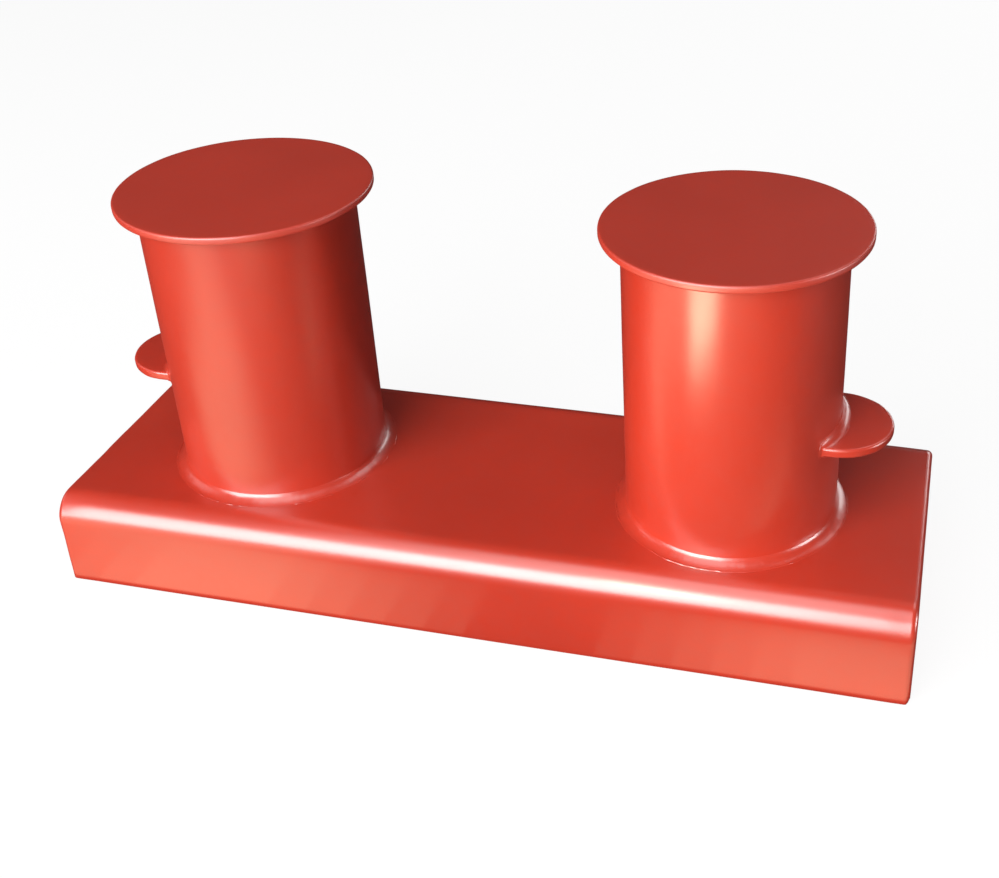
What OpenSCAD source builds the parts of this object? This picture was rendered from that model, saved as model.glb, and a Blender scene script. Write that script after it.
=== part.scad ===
// Double mooring bollard: two capped pipe posts, each with a side horn, on one low bent-plate base.
// Millimetres. X runs along the base, Y across it and Z up. The origin is the centre of the base's footprint.

/* [Posts] */
// Outside diameter of the post pipes
post_d = 219.1; // [200:0.1:240]
// Wall thickness of the post pipes
post_wall = 10; // [6:1:16]
// Distance between the two post axes
post_spacing = 505; // [480:5:540]
// Height of each post from the base top to the underside of its cap
post_clear_h = 309; // [260:1:400]

/* [Caps] */
// Diameter of the round cap plates
cap_d = 260; // [250:2:290]
// Thickness of the cap plates
cap_t = 8; // [6:1:14]
// Radius on the rim of the cap plates
cap_edge_r = 2; // [1:0.5:2.5]

/* [Base] */
// Length of the base over its end plates
base_l = 910; // [880:10:1000]
// Width of the base
base_w = 308; // [300:2:360]
// Height of the base
base_h = 105; // [92:1:140]
// Thickness of the bent plate and the end plates
plate_t = 10; // [8:1:12]
// Outside radius of the two long bends
bend_r = 30; // [20:1:36]
// Gap all round between a post and its hole in the base top
hole_gap = 0.5; // [0.3:0.1:1]

/* [Horns] */
// Width of each horn
horn_w = 108; // [80:2:110]
// How far each horn stands out from its post
horn_reach = 52; // [46:1:80]
// Thickness of the horn plates
horn_t = 10; // [8:1:14]
// Height of the horns' upper face above the base top
horn_top_h = 112; // [80:1:200]
// Radius on the rim of the horn plates
horn_edge_r = 2.5; // [1:0.5:3.5]

/* [Stiffeners] */
// Thickness of the centre web and the gussets
rib_t = 10; // [8:1:12]
// Corner cut on the gussets that clears the crossing welds
gusset_snipe = 18; // [14:1:24]

/* [Welds] */
// Leg of the fillet at the foot of each post
foot_leg = 11; // [6:1:12]
// Leg of the fillet under each cap
cap_leg = 7; // [4:1:9]
// Leg of the fillets around each horn
horn_leg = 9; // [5:1:10]
// Leg of the fillets inside the base
inner_leg = 6; // [4:1:7]
// Width of the ground corner seam around each end of the base
seam_w = 6; // [4:1:6]

/* [Hidden] */

PAINT = [0.74, 0.22, 0.16];
CAP_PAINT = [0.68, 0.23, 0.18];
WELD_PAINT = [0.78, 0.27, 0.20];
INNER_PAINT = [0.60, 0.18, 0.13];

// Facets of the preview mesh round a full circle
FINE = 128;
// How far a cutting tool runs past the face it opens
CUT = 1;
// The left half is the right half mirrored about X = 0
LEFT = -1;
RIGHT = 1;

post_r = post_d / 2;
post_x = post_spacing / 2;
cap_z = base_h + post_clear_h;
cap_r = cap_d / 2;

inner_w = base_w - 2 * plate_t;
inner_h = base_h - plate_t;
inner_bend_r = bend_r - plate_t;
inner_end_x = base_l / 2 - plate_t;

horn_z = base_h + horn_top_h - horn_t;
horn_r = horn_w / 2;
horn_centre = post_r + horn_reach - horn_r;
// Where the straight sides of a horn run into the post
horn_root = sqrt(post_r * post_r - horn_r * horn_r);
// Half angle of the post that a horn's width covers, and that its fillets cover with their returns
horn_half_angle = asin(horn_r / post_r);
horn_weld_angle = asin((horn_r + 0.7 * horn_leg) / post_r);

web_snipe = inner_bend_r + 4;
// Gap between a flat gusset end and the round post, which the fillets close
gusset_gap = 0.5;
gusset_inner_x = [rib_t / 2, post_x - post_r - gusset_gap];
gusset_outer_x = [post_x + post_r + gusset_gap, inner_end_x];
rib_top_h = inner_h - gusset_snipe;

// ---- Outlines and profiles ----

// End view of the base: a rectangle whose two upper corners are round
module hat(w, h, r) {
    translate([-w / 2, 0]) square([w, h - r]);
    translate([-w / 2 + r, 0]) square([w - 2 * r, h]);
    for (side = [-1, 1]) translate([side * (w / 2 - r), h - r]) circle(r, $fn = FINE);
}

// Rectangle from the origin whose outer edge, at x = w, has two round corners
module rounded_edge(w, h, r) {
    square([w - r, h]);
    translate([0, r]) square([w, h - 2 * r]);
    for (y = [r, h - r]) translate([w - r, y]) circle(r, $fn = FINE);
}

// Right triangle of a fillet weld, its square corner at the origin
module fillet_section(leg) {
    polygon([[0, 0], [leg, 0], [0, leg]]);
}

// Section of the corner seam: flush with both plates, its outer corner ground round
module seam_section() {
    translate([-plate_t, 0]) square([plate_t - seam_w, seam_w]);
    intersection() {
        translate([-seam_w, 0]) circle(seam_w, $fn = FINE);
        translate([-seam_w, 0]) square([seam_w, seam_w]);
    }
}

// Turns an outline drawn in end view so that it is extruded along +X
module along_x(length) {
    rotate([90, 0, 90]) linear_extrude(height = length) children();
}

// Straight fillet along +X from the origin: side_y and side_z say which way its legs point
module straight_fillet(length, leg, side_y, side_z) {
    along_x(length) scale_section(side_y, side_z) fillet_section(leg);
}

// Flips a section into the wanted quarter
module scale_section(side_y, side_z) {
    mirror([side_y < 0 ? 1 : 0, 0]) mirror([0, side_z < 0 ? 1 : 0]) children();
}

// Upright fillet from the origin: side_x and side_y say which way its legs point
module upright_fillet(height, leg, side_x, side_y) {
    linear_extrude(height = height) scale_section(side_x, side_y) fillet_section(leg);
}

// Ring fillet round a post. side_z is 1 where it rises from the plate below, -1 where it hangs
module ring_fillet(leg, side_z) {
    rotate_extrude($fn = FINE) translate([post_r, 0]) scale_section(1, side_z) fillet_section(leg);
}

// Places the right-hand sub-part, or its mirror image at the left end
module at_side(side) {
    mirror([side == LEFT ? 1 : 0, 0, 0]) children();
}

module at_post(side) {
    at_side(side) translate([post_x, 0, 0]) children();
}

// ---- Base ----

// One plate bent down along both long edges, with a hole for each post
module base_channel() {
    length = base_l - 2 * seam_w;
    color(PAINT) difference() {
        translate([-length / 2, 0, 0]) along_x(length) difference() {
            hat(base_w, base_h, bend_r);
            translate([0, -CUT]) hat(inner_w, inner_h + CUT, inner_bend_r);
        }
        for (side = [LEFT, RIGHT]) at_post(side)
            translate([0, 0, inner_h - CUT]) cylinder(r = post_r + hole_gap, h = plate_t + 2 * CUT, $fn = FINE);
    }
}

// Flat plate set into the open end of the bent plate
module end_plate(side) {
    color(PAINT) at_side(side)
        translate([inner_end_x, 0, 0]) along_x(plate_t) hat(inner_w, inner_h, inner_bend_r);
}

// Half of the corner seam: up one wall, round the bend and to the middle of the top
module half_seam() {
    translate([base_w / 2, base_h - bend_r, 0])
        rotate([90, 0, 0]) linear_extrude(height = base_h - bend_r) seam_section();
    translate([base_w / 2 - bend_r, base_h - bend_r, 0])
        rotate_extrude(angle = 90, $fn = FINE) translate([bend_r, 0]) seam_section();
    translate([0, base_h, 0])
        rotate([90, 0, 90]) linear_extrude(height = base_w / 2 - bend_r) seam_section();
}

module end_seam(side) {
    color(WELD_PAINT) at_side(side)
        translate([base_l / 2 - seam_w, 0, 0]) rotate([90, 0, 90]) {
            half_seam();
            mirror([1, 0, 0]) half_seam();
        }
}

// ---- Posts ----

// Pipe that runs through the base top and down to the deck
module post(side) {
    color(PAINT) at_post(side) difference() {
        cylinder(r = post_r, h = cap_z, $fn = FINE);
        translate([0, 0, -CUT]) cylinder(r = post_r - post_wall, h = cap_z + 2 * CUT, $fn = FINE);
    }
}

module cap(side) {
    color(CAP_PAINT) at_post(side) translate([0, 0, cap_z])
        rotate_extrude($fn = FINE) rounded_edge(cap_r, cap_t, cap_edge_r);
}

// Half-round tongue whose root is hollowed to the post
module horn(side) {
    color(PAINT) at_post(side) translate([0, 0, horn_z]) difference() {
        union() {
            translate([horn_centre, 0, 0])
                rotate_extrude(angle = 180, start = -90, $fn = FINE) rounded_edge(horn_r, horn_t, horn_edge_r);
            translate([horn_root - horn_leg, 0, 0]) along_x(horn_centre - horn_root + horn_leg) {
                rounded_edge(horn_r, horn_t, horn_edge_r);
                mirror([1, 0]) rounded_edge(horn_r, horn_t, horn_edge_r);
            }
        }
        translate([0, 0, -CUT]) cylinder(r = post_r, h = horn_t + 2 * CUT, $fn = FINE);
    }
}

// ---- Visible welds ----

module foot_weld(side) {
    color(WELD_PAINT) at_post(side) translate([0, 0, base_h]) ring_fillet(foot_leg, 1);
}

module cap_weld(side) {
    color(WELD_PAINT) at_post(side) translate([0, 0, cap_z]) ring_fillet(cap_leg, -1);
}

// Part of a ring fillet, centred on the horn
module horn_run(side_z) {
    rotate_extrude(angle = 2 * horn_weld_angle, start = -horn_weld_angle, $fn = FINE)
        translate([post_r, 0]) scale_section(1, side_z) fillet_section(horn_leg);
}

// Fillets above and below a horn, joined by a short return down each of its sides
module horn_weld(side) {
    return_w = 0.7 * horn_leg;
    color(WELD_PAINT) at_post(side) difference() {
        union() {
            translate([0, 0, horn_z + horn_t]) horn_run(1);
            translate([0, 0, horn_z]) horn_run(-1);
            for (edge = [-1, 1])
                translate([0, 0, horn_z]) linear_extrude(height = horn_t) scale_section(1, edge)
                    polygon([
                        [horn_root - return_w, horn_r],
                        [horn_root + return_w, horn_r],
                        [horn_root - return_w, horn_r + 2 * return_w]
                    ]);
        }
        translate([0, 0, horn_z - horn_leg - CUT])
            cylinder(r = post_r, h = horn_t + 2 * (horn_leg + CUT), $fn = FINE);
        translate([horn_root - 2 * horn_leg, 0, horn_z]) along_x(4 * horn_leg) {
            rounded_edge(horn_r, horn_t, horn_edge_r);
            mirror([1, 0]) rounded_edge(horn_r, horn_t, horn_edge_r);
        }
    }
}

// ---- Stiffeners inside the base ----

// Plate across the base between the posts, its upper corners cut clear of the bends
module centre_web() {
    color(INNER_PAINT) translate([-rib_t / 2, 0, 0]) along_x(rib_t) polygon([
        [-inner_w / 2, 0],
        [inner_w / 2, 0],
        [inner_w / 2, inner_h - web_snipe],
        [inner_w / 2 - web_snipe, inner_h],
        [-inner_w / 2 + web_snipe, inner_h],
        [-inner_w / 2, inner_h - web_snipe]
    ]);
}

// Plate along the centreline between the two X stations of span, both upper corners cut
module gusset(side, span) {
    color(INNER_PAINT) at_side(side) translate([0, rib_t / 2, 0]) rotate([90, 0, 0])
        linear_extrude(height = rib_t) polygon([
            [span[0], 0],
            [span[1], 0],
            [span[1], rib_top_h],
            [span[1] - gusset_snipe, inner_h],
            [span[0] + gusset_snipe, inner_h],
            [span[0], rib_top_h]
        ]);
}

// ---- Welds inside the base ----

module under_weld(side) {
    color(INNER_PAINT) at_post(side) translate([0, 0, inner_h]) ring_fillet(inner_leg, -1);
}

// Fillets along both faces of the centre web: under the top, and up the two walls
module centre_web_welds() {
    top_run = inner_w - 2 * web_snipe;
    color(INNER_PAINT) for (face = [-1, 1]) {
        translate([face * rib_t / 2, -top_run / 2, inner_h])
            rotate([0, 0, 90]) straight_fillet(top_run, inner_leg, -face, -1);
        for (wall = [-1, 1])
            translate([face * rib_t / 2, wall * inner_w / 2, 0])
                upright_fillet(inner_h - web_snipe, inner_leg, face, -wall);
    }
}

// Fillets on one face of one gusset: under the top, and up both of its ends
module gusset_face_welds(span, face) {
    top_run = span[1] - span[0] - 2 * gusset_snipe;
    translate([span[0] + gusset_snipe, face * rib_t / 2, inner_h])
        straight_fillet(top_run, inner_leg, face, -1);
    translate([span[0], face * rib_t / 2, 0]) upright_fillet(rib_top_h, inner_leg, 1, face);
    translate([span[1], face * rib_t / 2, 0]) upright_fillet(rib_top_h, inner_leg, -1, face);
}

// All the fillets of the two gussets at one side of the centre web
module gusset_welds(side) {
    color(INNER_PAINT) at_side(side) difference() {
        for (face = [-1, 1]) {
            gusset_face_welds(gusset_inner_x, face);
            gusset_face_welds(gusset_outer_x, face);
        }
        translate([post_x, 0, -CUT]) cylinder(r = post_r, h = inner_h + 2 * CUT, $fn = FINE);
    }
}

base_channel();
end_plate(LEFT);  // end_plate_left
end_plate(RIGHT);  // end_plate_right
end_seam(LEFT);  // end_seam_left
end_seam(RIGHT);  // end_seam_right
post(LEFT);  // post_left
post(RIGHT);  // post_right
cap(LEFT);  // cap_left
cap(RIGHT);  // cap_right
horn(LEFT);  // horn_left
horn(RIGHT);  // horn_right
foot_weld(LEFT);  // foot_weld_left
foot_weld(RIGHT);  // foot_weld_right
cap_weld(LEFT);  // cap_weld_left
cap_weld(RIGHT);  // cap_weld_right
horn_weld(LEFT);  // horn_weld_left
horn_weld(RIGHT);  // horn_weld_right
centre_web();
gusset(LEFT, gusset_inner_x);  // gusset_inner_left
gusset(RIGHT, gusset_inner_x);  // gusset_inner_right
gusset(LEFT, gusset_outer_x);  // gusset_outer_left
gusset(RIGHT, gusset_outer_x);  // gusset_outer_right
under_weld(LEFT);  // under_weld_left
under_weld(RIGHT);  // under_weld_right
centre_web_welds();
gusset_welds(LEFT);  // gusset_welds_left
gusset_welds(RIGHT);  // gusset_welds_right
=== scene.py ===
import math

import bmesh
import bpy
from mathutils import Matrix, Vector, noise

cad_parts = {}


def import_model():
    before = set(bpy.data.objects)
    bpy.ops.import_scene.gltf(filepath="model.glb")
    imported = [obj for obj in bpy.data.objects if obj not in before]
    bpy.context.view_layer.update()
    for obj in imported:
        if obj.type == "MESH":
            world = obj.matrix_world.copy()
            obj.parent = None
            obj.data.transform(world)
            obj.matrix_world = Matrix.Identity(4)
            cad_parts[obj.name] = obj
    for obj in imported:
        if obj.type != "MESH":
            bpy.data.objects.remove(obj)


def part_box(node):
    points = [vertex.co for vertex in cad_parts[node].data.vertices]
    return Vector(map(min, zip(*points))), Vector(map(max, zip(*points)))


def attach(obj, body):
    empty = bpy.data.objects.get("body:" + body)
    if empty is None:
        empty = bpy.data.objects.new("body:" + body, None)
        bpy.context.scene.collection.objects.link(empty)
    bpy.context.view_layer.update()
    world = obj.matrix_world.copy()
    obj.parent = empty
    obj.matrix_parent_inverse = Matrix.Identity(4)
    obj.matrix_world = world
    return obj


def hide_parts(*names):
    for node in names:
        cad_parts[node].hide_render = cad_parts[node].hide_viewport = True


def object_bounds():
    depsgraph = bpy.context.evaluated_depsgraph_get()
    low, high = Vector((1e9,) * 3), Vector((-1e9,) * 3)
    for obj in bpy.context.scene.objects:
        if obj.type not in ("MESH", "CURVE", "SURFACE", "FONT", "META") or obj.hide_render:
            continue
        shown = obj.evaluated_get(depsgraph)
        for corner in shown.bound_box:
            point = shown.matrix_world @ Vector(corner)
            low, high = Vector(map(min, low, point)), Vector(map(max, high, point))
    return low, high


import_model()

# The CAD model's box, kept before any piece is added
cad_low, cad_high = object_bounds()

# ---- Sizes taken from the frame, in metres ----

channel_low, channel_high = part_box("base_channel")
post_low, post_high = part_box("post_right")
cap_low, cap_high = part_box("cap_right")
horn_low, horn_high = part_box("horn_right")
end_low, end_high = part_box("end_plate_right")
web_low, web_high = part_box("centre_web")
inner_gusset_low, inner_gusset_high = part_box("gusset_inner_right")
outer_gusset_low, outer_gusset_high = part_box("gusset_outer_right")

BASE_W = channel_high.y - channel_low.y
BASE_H = channel_high.z
BASE_END = cad_high.x
CHANNEL_END = channel_high.x
PLATE = end_high.x - end_low.x
SEAM_W = BASE_END - CHANNEL_END

POST_R = (post_high.x - post_low.x) / 2
POST_X = (post_high.x + post_low.x) / 2
CAP_R = (cap_high.x - cap_low.x) / 2
CAP_Z = cap_low.z
CAP_T = cap_high.z - cap_low.z

HORN_R = (horn_high.y - horn_low.y) / 2
HORN_T = horn_high.z - horn_low.z
HORN_Z = horn_low.z
HORN_CENTRE = horn_high.x - POST_X - HORN_R

FOOT_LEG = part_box("foot_weld_right")[1].z - BASE_H
CAP_LEG = CAP_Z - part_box("cap_weld_right")[0].z
HORN_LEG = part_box("horn_weld_right")[1].z - horn_high.z
INNER_LEG = BASE_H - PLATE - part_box("under_weld_right")[0].z

# ---- Sizes that the frame's boxes don't give ----

BEND_R = 0.030
POST_WALL = 0.010
HOLE_GAP = 0.0005
CAP_EDGE_R = 0.0022
HORN_EDGE_R = 0.0028
WEB_SNIPE = 0.024
GUSSET_SNIPE = 0.018

LEFT, RIGHT = -1, 1
SIDES = {"left": LEFT, "right": RIGHT}


# ---- Materials ----

RED = (0.50, 0.032, 0.013)
DULL_RED = (0.36, 0.026, 0.015)
PAINT_IOR = 1.65
# How fine each noise is, and the part of its range that is used
DRIFT_SCALE, SHEEN_SCALE, GRAIN_SCALE, PEEL_SCALE = 9.0, 24.0, 90.0, 420.0
NOISE_DETAIL = 1.0
NOISE_LOW, NOISE_HIGH = 0.1, 0.9
PEEL_HEIGHT = 0.000015
SHEEN_SPREAD = 0.02
# Dry overspray: the share of it at most, and its tone as a share of the paint's colour plus a grey
DUST_MOST = 0.5
DUST_SHARE, DUST_GREY = 0.9, 0.012


def primer(name, colour, roughness, gloss=1.0, mottle=0.06):
    """Sprayed red oxide primer: drifting tone, fine mottle, dry overspray and orange peel."""
    material = bpy.data.materials.new(name)
    material.use_nodes = True
    nodes, links = material.node_tree.nodes, material.node_tree.links
    shader = nodes["Principled BSDF"]
    place = nodes.new("ShaderNodeTexCoord").outputs["Object"]

    def clouds(scale):
        texture = nodes.new("ShaderNodeTexNoise")
        texture.inputs["Scale"].default_value = scale
        texture.inputs["Detail"].default_value = NOISE_DETAIL
        links.new(place, texture.inputs["Vector"])
        return texture.outputs["Fac"]

    def ramp(value, to_low=0.0, to_high=1.0):
        node = nodes.new("ShaderNodeMapRange")
        node.inputs["From Min"].default_value = NOISE_LOW
        node.inputs["From Max"].default_value = NOISE_HIGH
        node.inputs["To Min"].default_value = to_low
        node.inputs["To Max"].default_value = to_high
        node.interpolation_type = "SMOOTHSTEP"
        links.new(value, node.inputs["Value"])
        return node.outputs["Result"]

    def blend(share, low, high):
        node = nodes.new("ShaderNodeMix")
        node.data_type = "RGBA"
        links.new(share, node.inputs["Factor"])
        for value, socket in ((low, node.inputs["A"]), (high, node.inputs["B"])):
            if isinstance(value, tuple):
                socket.default_value = (*value, 1.0)
            else:
                links.new(value, socket)
        return node.outputs["Result"]

    darker = tuple(c * (1 - mottle) for c in colour)
    lighter = tuple(c * (1 + mottle) for c in colour)
    dusty = tuple(c * DUST_SHARE + DUST_GREY for c in colour)
    drift = blend(ramp(clouds(DRIFT_SCALE)), darker, lighter)
    grain = ramp(clouds(GRAIN_SCALE), to_high=DUST_MOST)
    links.new(blend(grain, drift, dusty), shader.inputs["Base Color"])
    sheen = ramp(clouds(SHEEN_SCALE), roughness, roughness + SHEEN_SPREAD)
    links.new(sheen, shader.inputs["Roughness"])
    shader.inputs["IOR"].default_value = PAINT_IOR
    shader.inputs["Specular IOR Level"].default_value = gloss

    bump = nodes.new("ShaderNodeBump")
    bump.inputs["Distance"].default_value = PEEL_HEIGHT
    links.new(clouds(PEEL_SCALE), bump.inputs["Height"])
    links.new(bump.outputs["Normal"], shader.inputs["Normal"])
    return material


SLOT_PAINT = {
    "base_paint": primer("base_paint", RED, 0.28),
    "post_paint": primer("post_paint", RED, 0.29),
    "cap_paint": primer("cap_paint", RED, 0.40),
    "horn_paint": primer("horn_paint", RED, 0.29),
    "weld_paint": primer("weld_paint", RED, 0.28),
    "inner_paint": primer("inner_paint", DULL_RED, 0.60, gloss=0.5, mottle=0.15),
}


# ---- Mesh helpers ----

def uneven(point, size, height):
    """Lasting unevenness of rolled or welded steel at a point: the size of one swell and its height."""
    return height * noise.noise(Vector(point) / size)


def add_piece(name, points, faces, slot, node, sharp_deg=50):
    """A closed mesh that stands for one CAD node and takes its finish from a slot."""
    mesh = bpy.data.meshes.new(name)
    mesh.from_pydata([tuple(p) for p in points], [], faces)
    builder = bmesh.new()
    builder.from_mesh(mesh)
    bmesh.ops.recalc_face_normals(builder, faces=builder.faces)
    builder.to_mesh(mesh)
    builder.free()
    mesh.shade_smooth()
    mesh.set_sharp_from_angle(angle=math.radians(sharp_deg))
    mesh.materials.append(SLOT_PAINT[slot])
    piece = bpy.data.objects.new(name, mesh)
    bpy.context.scene.collection.objects.link(piece)
    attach(piece, "root")
    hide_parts(node)
    return piece


def join_rings(rings, closed_path):
    """Faces between rings of the same number of points. An open path gets a flat face at each end."""
    count = len(rings[0])
    points = [p for ring in rings for p in ring]
    faces = []
    for i in range(len(rings) if closed_path else len(rings) - 1):
        a, b = i * count, (i + 1) % len(rings) * count
        for j in range(count):
            k = (j + 1) % count
            faces.append((a + j, a + k, b + k, b + j))
    if not closed_path:
        faces.append(tuple(range(count)))
        faces.append(tuple(range(len(points) - count, len(points))))
    return points, faces


def add_meshes(meshes):
    """Several meshes as one."""
    points, faces = [], []
    for more_points, more_faces in meshes:
        start = len(points)
        points += more_points
        faces += [tuple(i + start for i in face) for face in more_faces]
    return points, faces


def at_side(point, side):
    """A point of the right half, or its mirror image at the left."""
    return Vector((side * point[0], point[1], point[2]))


def steps(low, high, count):
    """count + 1 even values from low to high."""
    return [low + (high - low) * i / count for i in range(count + 1)]


def arc(centre, radius, start_deg, end_deg, count):
    """Points of an arc in a plane, with their outward directions."""
    turns = [math.radians(a) for a in steps(start_deg, end_deg, count)]
    ways = [(math.cos(a), math.sin(a)) for a in turns]
    return [((centre[0] + radius * u, centre[1] + radius * v), (u, v)) for u, v in ways]


# ---- Base ----

HALF_LENGTH_STEPS = 72
TOP_WIDTH_STEPS = 36
WALL_STEPS = 12
TOE_STEPS = 3
BEND_STEPS = 18
HOLE_STEPS = 16
SEAM_WALL_STEPS = 40
SEAM_STEPS = 10
# The soft edge at the foot of each wall
TOE_R = 0.0006
# How far in from each end the plate is dressed with the grinder
DRESSED_W = 0.034
# How much lower the grinder left the plate at each end
DRESSED_DEPTH = {LEFT: 0.0018, RIGHT: 0.00025}
# The cut at the foot of each corner weld: its width and height
FOOT_CUT = {LEFT: (0.0004, 0.003), RIGHT: (0.0045, 0.010)}
# Unevenness of the plate, of its dressed ends and of the corner welds: size of one swell, height
PLATE_SWELL, PLATE_WAVES = (0.19, 0.00035), (0.055, 0.00006)
DRESSED_WAVES = (0.016, 0.00030)
SEAM_WAVES = (0.022, 0.0006)


def wall_profile(wall_steps=WALL_STEPS):
    """The back half of the base's outline, from the deck up to the end of the bend: (y, z), outward."""
    wall = BASE_W / 2
    toe = arc((wall - TOE_R, TOE_R), TOE_R, -90, 0, TOE_STEPS)
    straight = [((wall, z), (1.0, 0.0)) for z in steps(TOE_R, BASE_H - BEND_R, wall_steps)[1:]]
    bend = arc((wall - BEND_R, BASE_H - BEND_R), BEND_R, 0, 90, BEND_STEPS)[1:]
    return toe + straight + bend


def inner_place(y, z, out_y, out_z):
    """The place on the plate's inner face behind a place on the base's outline."""
    inner_y = y - PLATE * out_y if z > 2 * TOE_R else math.copysign(BASE_W / 2 - PLATE, y)
    return inner_y, z - PLATE * max(out_z, 0.0)


def base_swell(point):
    """How far the bent plate stands proud or hollow at a point."""
    dressed = max(0.0, 1 - (CHANNEL_END - abs(point.x)) / DRESSED_W)
    depth = DRESSED_DEPTH[LEFT if point.x < 0 else RIGHT] * min(1.0, (point.z / BASE_H) ** 3)
    ground = dressed * uneven(point, *DRESSED_WAVES) - dressed ** 2 * depth
    return uneven(point, *PLATE_SWELL) + uneven(point, *PLATE_WAVES) + ground


def base_skin():
    """Rows of (outer point, outward, inner point) that cover the bent plate with its two post holes."""
    patches = []
    profile = wall_profile()
    for facing in (-1, 1):
        rows = []
        for (y, z), (out_y, out_z) in profile:
            out = Vector((0, facing * out_y, out_z))
            inner_y, inner_z = inner_place(y, z, out_y, out_z)
            rows.append([
                (Vector((x, facing * y, z)), out, Vector((x, facing * inner_y, inner_z)))
                for x in steps(-CHANNEL_END, CHANNEL_END, 2 * HALF_LENGTH_STEPS)
            ])
        patches.append(rows)
    up = Vector((0, 0, 1))
    for side in (LEFT, RIGHT):
        patches.append([[(point, up, point - up * PLATE) for point in ring] for ring in holed_top(side)])
    return patches


def holed_top(side):
    """Rings from the post hole out to the edge of that half of the flat top."""
    edge_y = BASE_W / 2 - BEND_R
    along = steps(0, CHANNEL_END, HALF_LENGTH_STEPS)
    across = steps(-edge_y, edge_y, TOP_WIDTH_STEPS)
    edge = [(x, -edge_y) for x in along] + [(CHANNEL_END, y) for y in across[1:]]
    edge += [(x, edge_y) for x in reversed(along[:-1])] + [(0, y) for y in reversed(across[1:-1])]
    edge.append(edge[0])
    rings = []
    for share in steps(0, 1, HOLE_STEPS):
        ring = []
        for x, y in edge:
            outwards = Vector((x - POST_X, y, 0))
            hole = Vector((POST_X, 0, 0)) + outwards.normalized() * (POST_R + HOLE_GAP)
            spot = hole.lerp(Vector((x, y, 0)), share)
            ring.append(Vector((side * spot.x, spot.y, BASE_H)))
        rings.append(ring)
    return rings


def base_shell():
    """The bent plate as a closed solid: outer skin, inner skin and the edges between them."""
    outer, inner, faces, known = [], [], [], {}

    def index(spot):
        point, out, inside = spot
        key = tuple(round(c, 6) for c in point)
        if key not in known:
            known[key] = len(outer)
            swollen = point + out * base_swell(point)
            outer.append(Vector((swollen.x, swollen.y, max(swollen.z, 0.0))))
            inner.append(inside)
        return known[key]

    for rows in base_skin():
        for row, next_row in zip(rows, rows[1:]):
            for i in range(len(row) - 1):
                corners = (row[i], row[i + 1], next_row[i + 1], next_row[i])
                faces.append(tuple(index(corner) for corner in corners))
    uses = {}
    for face in faces:
        for a, b in zip(face, face[1:] + face[:1]):
            uses.setdefault(frozenset((a, b)), []).append((a, b))
    rims = [edge[0] for edge in uses.values() if len(edge) == 1]
    shift = len(outer)
    inner_faces = [tuple(i + shift for i in reversed(face)) for face in faces]
    rim_faces = [(b, a, a + shift, b + shift) for a, b in rims]
    all_faces = faces + inner_faces + rim_faces
    add_piece("bent_plate", outer + inner, all_faces, "base_paint", "base_channel")


def end_outline(wall_steps=WALL_STEPS):
    """The whole outline of the base in end view, front wall first: (y, z), outward."""
    back = wall_profile(wall_steps)
    front = [((-y, z), (-out_y, out_z)) for (y, z), (out_y, out_z) in back]
    edge_y = BASE_W / 2 - BEND_R
    top = [((y, BASE_H), (0.0, 1.0)) for y in steps(-edge_y, edge_y, TOP_WIDTH_STEPS)[1:-1]]
    return front + top + back[::-1]


def end_seam(name, side):
    """The corner weld round one end, ground to a soft edge with the grinder's slight waves."""
    cut_width, cut_height = FOOT_CUT[side]
    rings = []
    for (y, z), (out_y, out_z) in end_outline(SEAM_WALL_STEPS):
        low = max(0.0, 1 - z / cut_height)
        cut = cut_width * (1 - math.sqrt(1 - low * low))
        surface = Vector((CHANNEL_END, y, z))
        out = Vector((0, out_y, out_z))
        surface += out * base_swell(at_side(surface, side))
        if out_z < 0:
            out = Vector((0, math.copysign(1, y), 0))
        ring = []
        for turn in steps(0, 90, SEAM_STEPS):
            a = math.radians(turn)
            leaving = Vector((math.sin(a), 0, 0)) + out * math.cos(a)
            point = surface - out * SEAM_W + leaving * SEAM_W
            point.x = min(point.x, BASE_END - cut)
            ground = uneven(at_side(point, side), *SEAM_WAVES) * math.sin(a)
            ring.append(point + leaving * min(ground, 0.0))
        ring.append(surface - out * PLATE + Vector((SEAM_W - cut, 0, 0)))
        ring.append(surface - out * PLATE)
        ring = [Vector((p.x, p.y, max(p.z, 0.0))) for p in ring]
        rings.append([at_side(p, side) for p in ring])
    points, faces = join_rings(rings, closed_path=False)
    add_piece(f"end_corner_{name}", points, faces, "weld_paint", f"end_seam_{name}")


def end_plate(name, side):
    """The flat plate that closes one end, set inside the corner weld."""
    outline = [inner_place(y, z, out_y, out_z) for (y, z), (out_y, out_z) in end_outline()]
    rings = [[at_side((x, y, z), side) for y, z in outline] for x in (BASE_END - PLATE, BASE_END)]
    points, faces = join_rings(rings, closed_path=False)
    add_piece(f"end_closure_{name}", points, faces, "base_paint", f"end_plate_{name}")


# ---- Posts, caps and horns ----

ROUND_STEPS = 256
POST_STEPS, BORE_STEPS = 60, 12
CAP_TOP_STEPS, CAP_UNDER_STEPS = 24, 12
EDGE_STEPS = 6
HORN_NOSE_STEPS, HORN_ROOT_STEPS, HORN_FACE_STEPS = 48, 8, 6
# Unevenness of the pipe, of the cap's rim and face, and of the horn's cut edge: size of one swell, height
PIPE_SWELL, PIPE_WAVES = (0.11, 0.00028), (0.035, 0.00005)
CAP_RIM_WAVES, CAP_DISH = (0.03, 0.00025), (0.09, 0.00035)
HORN_CUT_WAVES = (0.016, 0.0004)
# Radius of the flat at the middle of a cap's faces
CAP_MIDDLE_R = 0.004
# How far a horn's root reaches into the pipe's wall
HORN_SINK = 0.004
# Half the width of the narrow strip that closes a horn's faces, and the inset where the rows of faces end
HORN_SPINE = 0.0015
HORN_INNER_INSET = 0.8 * HORN_R


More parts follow.
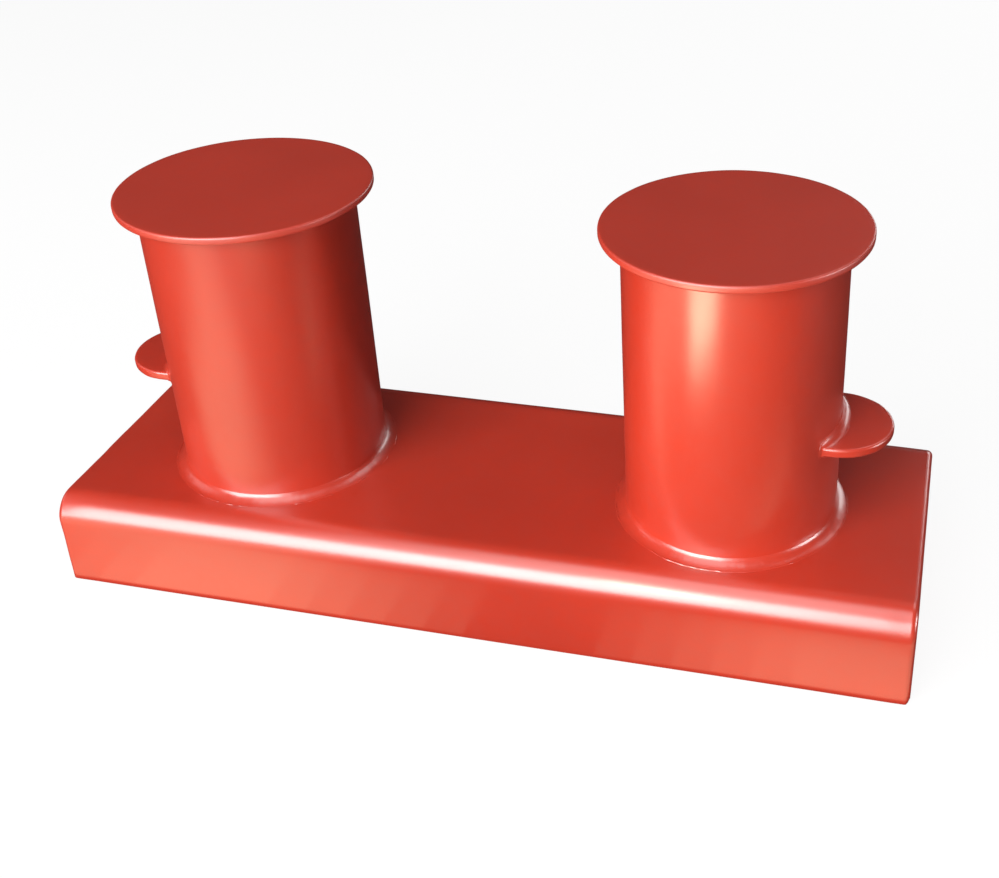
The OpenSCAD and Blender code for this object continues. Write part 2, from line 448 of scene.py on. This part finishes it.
def lathe(profile, side, swell):
    """Rings round a post's axis, one for each (radius, height) of the profile."""
    rings = []
    for radius, z in profile:
        ring = []
        for i in range(ROUND_STEPS):
            a = 2 * math.pi * i / ROUND_STEPS
            out = Vector((math.cos(a), math.sin(a), 0))
            point = Vector((POST_X, 0, z)) + out * radius
            ring.append(at_side(point + swell(at_side(point, side), out), side))
        rings.append(ring)
    return rings


def post(name, side):
    """The pipe, very slightly out of true as rolled pipe is."""
    def swell(point, out):
        return out * (uneven(point, *PIPE_SWELL) + uneven(point, *PIPE_WAVES))

    outer = [(POST_R, z) for z in steps(0, CAP_Z, POST_STEPS)]
    inner = [(POST_R - POST_WALL, z) for z in steps(CAP_Z, 0, BORE_STEPS)]
    points, faces = join_rings(lathe(outer + inner, side, swell), closed_path=True)
    add_piece(f"post_pipe_{name}", points, faces, "post_paint", f"post_{name}")


def cap(name, side):
    """The round plate, faintly dished by its weld, with a softened rim."""
    def swell(point, out):
        rim = out * uneven(point, *CAP_RIM_WAVES)
        return rim + Vector((0, 0, uneven(point, *CAP_DISH)))

    radius, edge = CAP_R, CAP_EDGE_R
    top = [(r, CAP_Z + CAP_T) for r in steps(CAP_MIDDLE_R, radius - edge, CAP_TOP_STEPS)]
    rim = [p for p, _ in arc((radius - edge, CAP_Z + CAP_T - edge), edge, 90, 0, EDGE_STEPS)[1:]]
    rim += [p for p, _ in arc((radius - edge, CAP_Z + edge), edge, 0, -90, EDGE_STEPS)]
    under = [(r, CAP_Z) for r in steps(radius - edge, CAP_MIDDLE_R, CAP_UNDER_STEPS)[1:]]
    points, faces = join_rings(lathe(top + rim + under, side, swell), closed_path=False)
    add_piece(f"cap_disc_{name}", points, faces, "cap_paint", f"cap_{name}")


def horn_outline(inset):
    """Plan of a horn from the post round its nose and back, drawn in by inset."""
    half = HORN_R - inset
    root = math.sqrt(POST_R ** 2 - HORN_R ** 2) - HORN_SINK
    straight = steps(root, HORN_CENTRE, HORN_ROOT_STEPS)[:-1]
    nose = [p for p, _ in arc((HORN_CENTRE, 0), half, -90, 90, HORN_NOSE_STEPS)]
    return [(x, -half) for x in straight] + nose + [(x, half) for x in reversed(straight)]


def horn(name, side):
    """The flame-cut tongue, its rim rounded over."""
    edge = HORN_EDGE_R
    levels = [(HORN_R - HORN_SPINE, HORN_T)]
    levels += [(inset, HORN_T) for inset in steps(HORN_INNER_INSET, edge, HORN_FACE_STEPS)]
    levels += [(edge - x, z) for (x, z), _ in arc((0, HORN_T - edge), edge, 90, 0, EDGE_STEPS)[1:]]
    levels += [(edge - x, z) for (x, z), _ in arc((0, edge), edge, 0, -90, EDGE_STEPS)]
    levels += [(inset, 0.0) for inset in steps(edge, HORN_INNER_INSET, HORN_FACE_STEPS)[1:]]
    levels.append((HORN_R - HORN_SPINE, 0.0))
    rings = []
    for inset, z in levels:
        ring = []
        for x, y in horn_outline(inset):
            point = Vector((POST_X + x, y, HORN_Z + z))
            cut = uneven(at_side(point, side), *HORN_CUT_WAVES)
            outwards = Vector((max(0.0, x - HORN_CENTRE), y, 0)).normalized()
            ring.append(at_side(point + outwards * cut, side))
        rings.append(ring)
    points, faces = join_rings(rings, closed_path=False)
    add_piece(f"horn_tongue_{name}", points, faces, "horn_paint", f"horn_{name}")


# ---- Weld beads ----

SECTION_STEPS = 32
# How deep a bead's toes sink into the plates that they meet, and how fast that fades across its face
SINK = 0.0004
SINK_POWER = 40
# Where the lips along a bead's two toes stand, and how wide they are, as shares of its face
LIP_PLACE, LIP_WIDTH = 0.075, 0.042
# How fast a collar leaves the first plate, as a share of the bead's width
COLLAR_W = 0.065
BEAD_STEP = 0.001
# The least height of an open bead's ends, as the square of a share of its height
BEAD_END = 0.04
# Ripples: their height and spacing, their bow and drift, and how far their strength holds
RIPPLE = 0.00002
RIPPLE_SPACING = 0.0050
RIPPLE_BOW = 2.0
RIPPLE_DRIFT, RIPPLE_DRIFT_SIZE = 0.9, 0.018
RIPPLE_PATCH = 0.009
# Sizes of the slow changes along a bead: its height, its outer edge and its broken lip
HEIGHT_CHANGE = 0.05
EDGE_CHANGE, EDGE_NICKS = 0.030, 0.008
EDGE_NICK_SHARE = 0.7
LIP_CHANGE, LIP_BREAKS = 0.040, 0.006
LIP_CHANGE_SHARE = 1.2
# Lumps in a bead's face: size of one swell, height
FACE_WAVES, FACE_SWELL = (0.007, 0.00008), (0.019, 0.00016)
# The bead round a horn as shares of its leg: below the horn, at its middle, and what the corners lose
HORN_BELOW_SHARE = 0.72
HORN_MIDDLE_SHARE = 1.05
HORN_CORNER_LOSS = 0.75


class Track:
    """The corner that a bead fills: its length, its line, and its first and second face at a distance."""

    def __init__(self, length, corner, on_first, on_second, closed, leg=lambda s: 1.0):
        self.length, self.closed, self.leg = length, closed, leg
        self.corner, self.on_first, self.on_second = corner, on_first, on_second


def bead(track, leg, tall=1.0, wide=1.0, sag=1.0, collar=0.0, lips=(0.0, 0.0), lumps=0.05):
    """A hand-laid fillet with the sagging face, raised toes and slight ripples of a weld run.

    tall and wide are its legs on the first and second plate as shares of leg. sag bends its face
    hollow, collar is the share of its height that stands steep against the first plate, and lips
    are the heights of the raised lines along its toes.
    """
    count = max(8, round(track.length / BEAD_STEP))
    rings = []
    for i in range(count if track.closed else count + 1):
        s = track.length * i / count
        root = track.corner(s)
        share = leg * track.leg(s)
        edge = noise.noise(root / EDGE_CHANGE) + EDGE_NICK_SHARE * noise.noise(root / EDGE_NICKS)
        first_leg = share * tall * (1 + lumps * noise.noise(root / HEIGHT_CHANGE))
        second_leg = share * wide * (1 + lumps * edge)
        a, b = track.on_first(s, first_leg) - root, track.on_second(s, second_leg) - root
        up, out = a.normalized(), b.normalized()
        away = (a.length * out + b.length * up).normalized()
        end = 1.0 if track.closed else min(1.0, math.sqrt(min(s, track.length - s) / leg + BEAD_END))
        beat = s / RIPPLE_SPACING + RIPPLE_DRIFT * noise.noise(root / RIPPLE_DRIFT_SIZE)
        ripple = RIPPLE * (1 + noise.noise(root / RIPPLE_PATCH))
        broken = noise.noise(root / LIP_BREAKS) + LIP_CHANGE_SHARE * noise.noise(root / LIP_CHANGE)
        ring = []
        for turn in steps(0, math.pi, SECTION_STEPS):
            t = (1 - math.cos(turn)) / 2
            face = a * (collar * math.exp(-t / COLLAR_W) + (1 - collar) * (1 - t) ** sag) + b * t
            arch = math.sin(math.pi * t)
            wave = ripple * math.sin(2 * math.pi * beat + RIPPLE_BOW * (2 * t - 1) ** 2)
            wave += uneven(root + face, *FACE_WAVES) + uneven(root + face, *FACE_SWELL)
            first_lip = lips[0] * math.exp(-(((t - LIP_PLACE) / LIP_WIDTH) ** 2))
            second_lip = lips[1] * max(0.0, broken) * math.exp(-(((1 - t - LIP_PLACE) / LIP_WIDTH) ** 2))
            stand = wave * arch + first_lip + second_lip
            point = root + face * end + away * stand
            point -= (out * (1 - t) ** SINK_POWER + up * t ** SINK_POWER) * SINK
            ring.append(point)
        ring.append(root - away * 3 * SINK)
        rings.append(ring)
    return join_rings(rings, track.closed)


def ring_track(side, z, rise):
    """The corner between a post and a plate at height z. rise is 1 above the plate and -1 below it."""
    def around(s, radius, height):
        a = s / POST_R
        return at_side((POST_X + radius * math.cos(a), radius * math.sin(a), height), side)

    return Track(
        2 * math.pi * POST_R,
        lambda s: around(s, POST_R, z),
        lambda s, leg: around(s, POST_R, z + rise * leg),
        lambda s, leg: around(s, POST_R + leg, z),
        closed=True,
    )


def horn_track(side):
    """The corner round the root of a horn: over the top, down one edge, back below and up the other."""
    half_u = POST_R * math.asin(HORN_R / POST_R)
    half_z = HORN_T / 2
    r = HORN_EDGE_R
    flat_u, flat_z, quarter = 2 * (half_u - r), 2 * (half_z - r), r * math.pi / 2
    length = 2 * (flat_u + flat_z) + 4 * quarter

    def outline(s):
        """Place on the post's unrolled surface and the way out of the horn's outline there."""
        runs = [
            (flat_u, (-half_u + r, half_z), (1, 0), 90),
            (flat_z, (half_u, half_z - r), (0, -1), 0),
            (flat_u, (half_u - r, -half_z), (-1, 0), -90),
            (flat_z, (-half_u, -half_z + r), (0, 1), -180),
        ]
        for run, (u, z), (du, dz), facing in runs:
            if s <= run:
                out = math.radians(facing)
                return (u + du * s, z + dz * s), (math.cos(out), math.sin(out))
            s -= run
            if s <= quarter:
                start, out = math.radians(facing), math.radians(facing - 90 * s / quarter)
                centre_u = u + du * run - r * math.cos(start)
                centre_z = z + dz * run - r * math.sin(start)
                way = (math.cos(out), math.sin(out))
                return (centre_u + r * way[0], centre_z + r * way[1]), way
            s -= quarter
        return outline(0.0)

    def on_post(u, z):
        a = u / POST_R
        height = HORN_Z + half_z + z
        return at_side((POST_X + POST_R * math.cos(a), POST_R * math.sin(a), height), side)

    def corner(s):
        (u, z), _ = outline(s)
        return on_post(u, z)

    def up_post(s, leg):
        (u, z), (out_u, out_z) = outline(s)
        return on_post(u + out_u * leg, z + out_z * leg)

    def along_horn(s, leg):
        (u, z), (out_u, out_z) = outline(s)
        a = u / POST_R
        radial = Vector((math.cos(a), math.sin(a), 0))
        way = (radial * abs(out_z) + Vector((1, 0, 0)) * abs(out_u)).normalized()
        return on_post(u, z) + Vector((side * way.x, way.y, 0)) * leg

    def share(s):
        (u, _), (_, out_z) = outline(s)
        below = HORN_BELOW_SHARE if out_z < -0.5 else 1.0
        return below * (HORN_MIDDLE_SHARE - HORN_CORNER_LOSS * abs(u / half_u) ** 8)

    return Track(length, corner, up_post, along_horn, closed=True, leg=share)


def straight_track(start, end, first, second):
    """The straight corner from start to end between two faces whose directions away are given."""
    start, end, first, second = Vector(start), Vector(end), Vector(first), Vector(second)
    length = (end - start).length
    return Track(
        length,
        lambda s: start.lerp(end, s / length),
        lambda s, leg: start.lerp(end, s / length) + first * leg,
        lambda s, leg: start.lerp(end, s / length) + second * leg,
        closed=False,
    )


def add_bead(name, mesh, slot, node):
    """A bead or several as one piece, smooth but for its sharpest turns."""
    points, faces = mesh
    add_piece(name, points, faces, slot, node, sharp_deg=80)


def outer_welds(name, side):
    """The beads at a post's foot, under its cap and round its horn."""
    foot = bead(
        ring_track(side, BASE_H, 1), FOOT_LEG,
        tall=0.80, wide=1.12, sag=1.7, collar=0.24, lips=(0.0, 0.0011), lumps=0.08,
    )
    add_bead(f"foot_bead_{name}", foot, "weld_paint", f"foot_weld_{name}")
    under_cap = bead(ring_track(side, CAP_Z, -1), CAP_LEG, sag=1.3)
    add_bead(f"cap_bead_{name}", under_cap, "weld_paint", f"cap_weld_{name}")
    round_horn = bead(horn_track(side), HORN_LEG, sag=2.0, collar=0.15, lips=(0.0005, 0.0008))
    add_bead(f"horn_bead_{name}", round_horn, "weld_paint", f"horn_weld_{name}")


# ---- Stiffeners and welds inside the base ----

UNDER_Z = BASE_H - PLATE
RIB_EDGE = 0.0007
# How far above the deck the upright inner beads start
WELD_START_Z = 0.001


def sniped(start, end, snipe):
    """A rib's outline from start to end up to the base's top, with both upper corners cut off."""
    return [
        (start, 0), (end, 0), (end, UNDER_Z - snipe),
        (end - snipe, UNDER_Z), (start + snipe, UNDER_Z), (start, UNDER_Z - snipe),
    ]


def add_rib(name, outline, thickness_axis, low, high, node):
    """A flat plate between two stations of an axis, its cut edges just broken."""
    rings = []
    for station in (low, high):
        if thickness_axis == "x":
            rings.append([Vector((station, u, z)) for u, z in outline])
        else:
            rings.append([Vector((u, station, z)) for u, z in outline])
    points, faces = join_rings(rings, closed_path=False)
    rib = add_piece(name, points, faces, "inner_paint", node, 30)
    bevel = rib.modifiers.new("broken_edges", "BEVEL")
    bevel.width = RIB_EDGE
    bevel.segments = 2


def centre_web():
    """The plate across the base between the posts."""
    half = BASE_W / 2 - PLATE
    add_rib("web_plate", sniped(-half, half, WEB_SNIPE), "x", web_low.x, web_high.x, "centre_web")


def gusset(name, side, low, high, where):
    """A plate along the base's middle line, inboard or outboard of a post."""
    outline = [(side * x, z) for x, z in sniped(low.x, high.x, GUSSET_SNIPE)]
    add_rib(f"{where}_gusset_plate_{name}", outline, "y", low.y, high.y, f"gusset_{where}_{name}")


def web_welds():
    """The beads that hold the centre web to the base's top and walls."""
    half = BASE_W / 2 - PLATE
    parts = []
    for face in (-1, 1):
        x = web_high.x * face
        top = straight_track(
            (x, -half + WEB_SNIPE, UNDER_Z), (x, half - WEB_SNIPE, UNDER_Z), (0, 0, -1), (face, 0, 0)
        )
        parts.append(bead(top, INNER_LEG))
        for wall in (-1, 1):
            y = wall * half
            start, end = (x, y, WELD_START_Z), (x, y, UNDER_Z - WEB_SNIPE)
            parts.append(bead(straight_track(start, end, (0, -wall, 0), (face, 0, 0)), INNER_LEG))
    add_bead("web_beads", add_meshes(parts), "inner_paint", "centre_web_welds")


def gusset_welds(name, side):
    """The beads that hold both gussets of a post to the base's top, the pipe and the plate beyond."""
    parts = []
    top_z, snipe = UNDER_Z, GUSSET_SNIPE
    for low, high in ((inner_gusset_low, inner_gusset_high), (outer_gusset_low, outer_gusset_high)):
        for face in (-1, 1):
            y = high.y * face
            tracks = [
                ((low.x + snipe, y, top_z), (high.x - snipe, y, top_z), (0, 0, -1), (0, face, 0)),
                ((low.x, y, WELD_START_Z), (low.x, y, top_z - snipe), (1, 0, 0), (0, face, 0)),
                ((high.x, y, WELD_START_Z), (high.x, y, top_z - snipe), (-1, 0, 0), (0, face, 0)),
            ]
            for track in tracks:
                placed = straight_track(*(at_side(vector, side) for vector in track))
                parts.append(bead(placed, INNER_LEG))
    add_bead(f"gusset_beads_{name}", add_meshes(parts), "inner_paint", f"gusset_welds_{name}")


def under_weld(name, side):
    """The bead round a post below the base's top."""
    mesh = bead(ring_track(side, UNDER_Z, -1), INNER_LEG)
    add_bead(f"under_bead_{name}", mesh, "inner_paint", f"under_weld_{name}")


# ---- The object ----

base_shell()
centre_web()
web_welds()
for name, side in SIDES.items():
    end_seam(name, side)
    end_plate(name, side)
    post(name, side)
    cap(name, side)
    horn(name, side)
    outer_welds(name, side)
    gusset(name, side, inner_gusset_low, inner_gusset_high, "inner")
    gusset(name, side, outer_gusset_low, outer_gusset_high, "outer")
    gusset_welds(name, side)
    under_weld(name, side)


# ---- Camera ----

SENSOR_MM = 36.0
LENS_MM = 49.353
# The lens's axis passes right of and above the middle of the frame, in shares of the frame's width
SHIFT = (-0.1200, -0.0956)
# Where the camera stands, and which way it looks: turned from +Y, tipped down and rolled
CAMERA_PLACE = Vector((0.4377, -1.1581, 0.9611))
AZIMUTH, PITCH, ROLL = math.radians(-14.566), math.radians(29.686), math.radians(-1.551)

camera_data = bpy.data.cameras.new("camera")
camera_data.sensor_width = SENSOR_MM
camera_data.lens = LENS_MM
camera_data.shift_x, camera_data.shift_y = SHIFT
camera = bpy.data.objects.new("camera", camera_data)
bpy.context.scene.collection.objects.link(camera)
bpy.context.scene.camera = camera

forward = Vector((
    math.sin(AZIMUTH) * math.cos(PITCH),
    math.cos(AZIMUTH) * math.cos(PITCH),
    -math.sin(PITCH),
))
level = Vector((math.cos(AZIMUTH), -math.sin(AZIMUTH), 0))
upright = level.cross(forward)
right = level * math.cos(ROLL) + upright * math.sin(ROLL)
up = upright * math.cos(ROLL) - level * math.sin(ROLL)
axes = Matrix((right, up, -forward)).transposed()
camera.matrix_world = Matrix.Translation(CAMERA_PLACE) @ axes.to_4x4()


# ---- Floor and light ----

# Share of light that the floor gives back to the object, and how it looks to the camera
FLOOR_BOUNCE, FLOOR_ROUGHNESS = 0.04, 0.9
FLOOR_WHITE, FLOOR_SHADOWS = 0.91, 0.10
FLOOR_HALF = 40.0
# Light of the dark room round the object
ROOM_LIGHT = 0.04
# How far off the softboxes stand, and the place that they face
STUDIO_R = 4.0
ROOM_MIDDLE = (0, 0, 0.2)
WARM = (1.0, 0.92, 0.62)
# A floor glow's layers: how many, how high the lowest lies and how far apart they are.
# Layers at one height would hide each other.
GLOW_LAYERS = 6
GLOW_Z, GLOW_GAP = 0.001, 0.0005


def floor():
    """A wide pale floor that stays white in the camera's eye, with a faint contact shadow."""
    corners = [(x * FLOOR_HALF, y * FLOOR_HALF, 0) for x, y in ((-1, -1), (1, -1), (1, 1), (-1, 1))]
    mesh = bpy.data.meshes.new("floor")
    mesh.from_pydata(corners, [], [(0, 1, 2, 3)])
    ground = bpy.data.objects.new("floor", mesh)
    bpy.context.scene.collection.objects.link(ground)
    material = bpy.data.materials.new("floor")
    material.use_nodes = True
    nodes, links = material.node_tree.nodes, material.node_tree.links
    dim = nodes["Principled BSDF"]
    dim.inputs["Base Color"].default_value = (FLOOR_BOUNCE, FLOOR_BOUNCE, FLOOR_BOUNCE, 1)
    dim.inputs["Roughness"].default_value = FLOOR_ROUGHNESS
    dim.inputs["Specular IOR Level"].default_value = 0.0
    glow = nodes.new("ShaderNodeEmission")
    glow.inputs["Strength"].default_value = FLOOR_WHITE
    matt = nodes.new("ShaderNodeBsdfDiffuse")
    matt.inputs["Color"].default_value = (FLOOR_SHADOWS, FLOOR_SHADOWS, FLOOR_SHADOWS, 1)
    pale = nodes.new("ShaderNodeAddShader")
    links.new(glow.outputs["Emission"], pale.inputs[0])
    links.new(matt.outputs["BSDF"], pale.inputs[1])
    path = nodes.new("ShaderNodeLightPath")
    mix = nodes.new("ShaderNodeMixShader")
    links.new(path.outputs["Is Camera Ray"], mix.inputs["Fac"])
    links.new(dim.outputs["BSDF"], mix.inputs[1])
    links.new(pale.outputs["Shader"], mix.inputs[2])
    links.new(mix.outputs["Shader"], nodes["Material Output"].inputs["Surface"])
    mesh.materials.append(material)


def area_light(name, place, target, size, radiance, colour=(1, 1, 1)):
    """A soft rectangular light at place that faces target."""
    data = bpy.data.lights.new(name, "AREA")
    data.shape = "RECTANGLE"
    data.size, data.size_y = size
    data.energy = radiance * math.pi * size[0] * size[1]
    data.color = colour
    lamp = bpy.data.objects.new(name, data)
    lamp.location = place
    lamp.rotation_mode = "QUATERNION"
    lamp.rotation_quaternion = (Vector(target) - Vector(place)).to_track_quat("-Z", "Y")
    lamp.visible_camera = False
    bpy.context.scene.collection.objects.link(lamp)


def softbox(name, azimuth, elevation, radiance):
    """A light that fills a range of azimuth, 0 in front and growing to the right, and of elevation."""
    turn, rise = math.radians(sum(azimuth) / 2), math.radians(sum(elevation) / 2)
    half_turn, half_rise = (math.radians((high - low) / 2) for low, high in (azimuth, elevation))
    way = Vector((math.sin(turn) * math.cos(rise), -math.cos(turn) * math.cos(rise), math.sin(rise)))
    size = (2 * STUDIO_R * math.cos(rise) * math.tan(half_turn), 2 * STUDIO_R * math.tan(half_rise))
    area_light(name, way * STUDIO_R, ROOM_MIDDLE, size, radiance)


def floor_glow(name, along, across, radiance, fade):
    """Lights that lie on the floor and face up: a bright stretch of floor that fades out at both ends."""
    for layer in range(GLOW_LAYERS):
        trim = fade * layer / (GLOW_LAYERS - 1)
        x, y, z = sum(along) / 2, sum(across) / 2, GLOW_Z + GLOW_GAP * layer
        size = (along[1] - along[0] - 2 * trim, across[1] - across[0])
        area_light(f"{name}_{layer}", (x, y, z), (x, y, 1), size, radiance / GLOW_LAYERS, WARM)


def world(strength):
    """White to the camera, and a dark room to everything else."""
    room = bpy.data.worlds.new("room")
    room.use_nodes = True
    nodes, links = room.node_tree.nodes, room.node_tree.links
    backdrop = nodes["Background"]
    backdrop.inputs["Color"].default_value = (1, 1, 1, 1)
    backdrop.inputs["Strength"].default_value = 1.0
    dim = nodes.new("ShaderNodeBackground")
    dim.inputs["Color"].default_value = (1, 1, 1, 1)
    dim.inputs["Strength"].default_value = strength
    path = nodes.new("ShaderNodeLightPath")
    mix = nodes.new("ShaderNodeMixShader")
    links.new(path.outputs["Is Camera Ray"], mix.inputs["Fac"])
    links.new(dim.outputs["Background"], mix.inputs[1])
    links.new(backdrop.outputs["Background"], mix.inputs[2])
    links.new(mix.outputs["Shader"], nodes["World Output"].inputs["Surface"])
    bpy.context.scene.world = room


floor()
world(ROOM_LIGHT)
softbox("key", (-46, -22), (2, 39), 7.8)
softbox("key_middle", (-22, 5), (4, 43), 8.7)
softbox("key_right", (5, 16), (12, 42), 2.5)
softbox("key_top", (-46, 20), (41, 85), 2.1)
softbox("fill_left", (-100, -70), (15, 40), 0.9)
softbox("right_wall", (77, 101), (1, 14), 11.0)
softbox("hair", (115, 150), (40, 65), 1.8)
softbox("rim", (142, 168), (8, 20), 5.0)
floor_glow("floor_front_left", (-0.60, 0.0), (-0.24, -0.157), 1.15, 0.22)
floor_glow("floor_left", (-0.85, -0.15), (-0.80, -0.24), 0.9, 0.18)
floor_glow("floor_left_far", (-1.0, -0.30), (-1.3, -0.80), 0.50, 0.20)
floor_glow("floor_front_right", (0.14, 0.66), (-0.24, -0.157), 0.95, 0.20)
floor_glow("floor_far_left", (-3.4, -1.0), (-2.8, -1.3), 5.0, 0.4)
floor_glow("floor_far_right", (-0.1, 1.5), (-2.8, -1.3), 3.0, 0.3)
area_light("card", (0.158, -0.358, 0.26), (0.383, -0.178, 0.344), (0.17, 0.12), 7.0, WARM)
view = bpy.context.scene.view_settings
view.view_transform = "Standard"
view.look = "None"
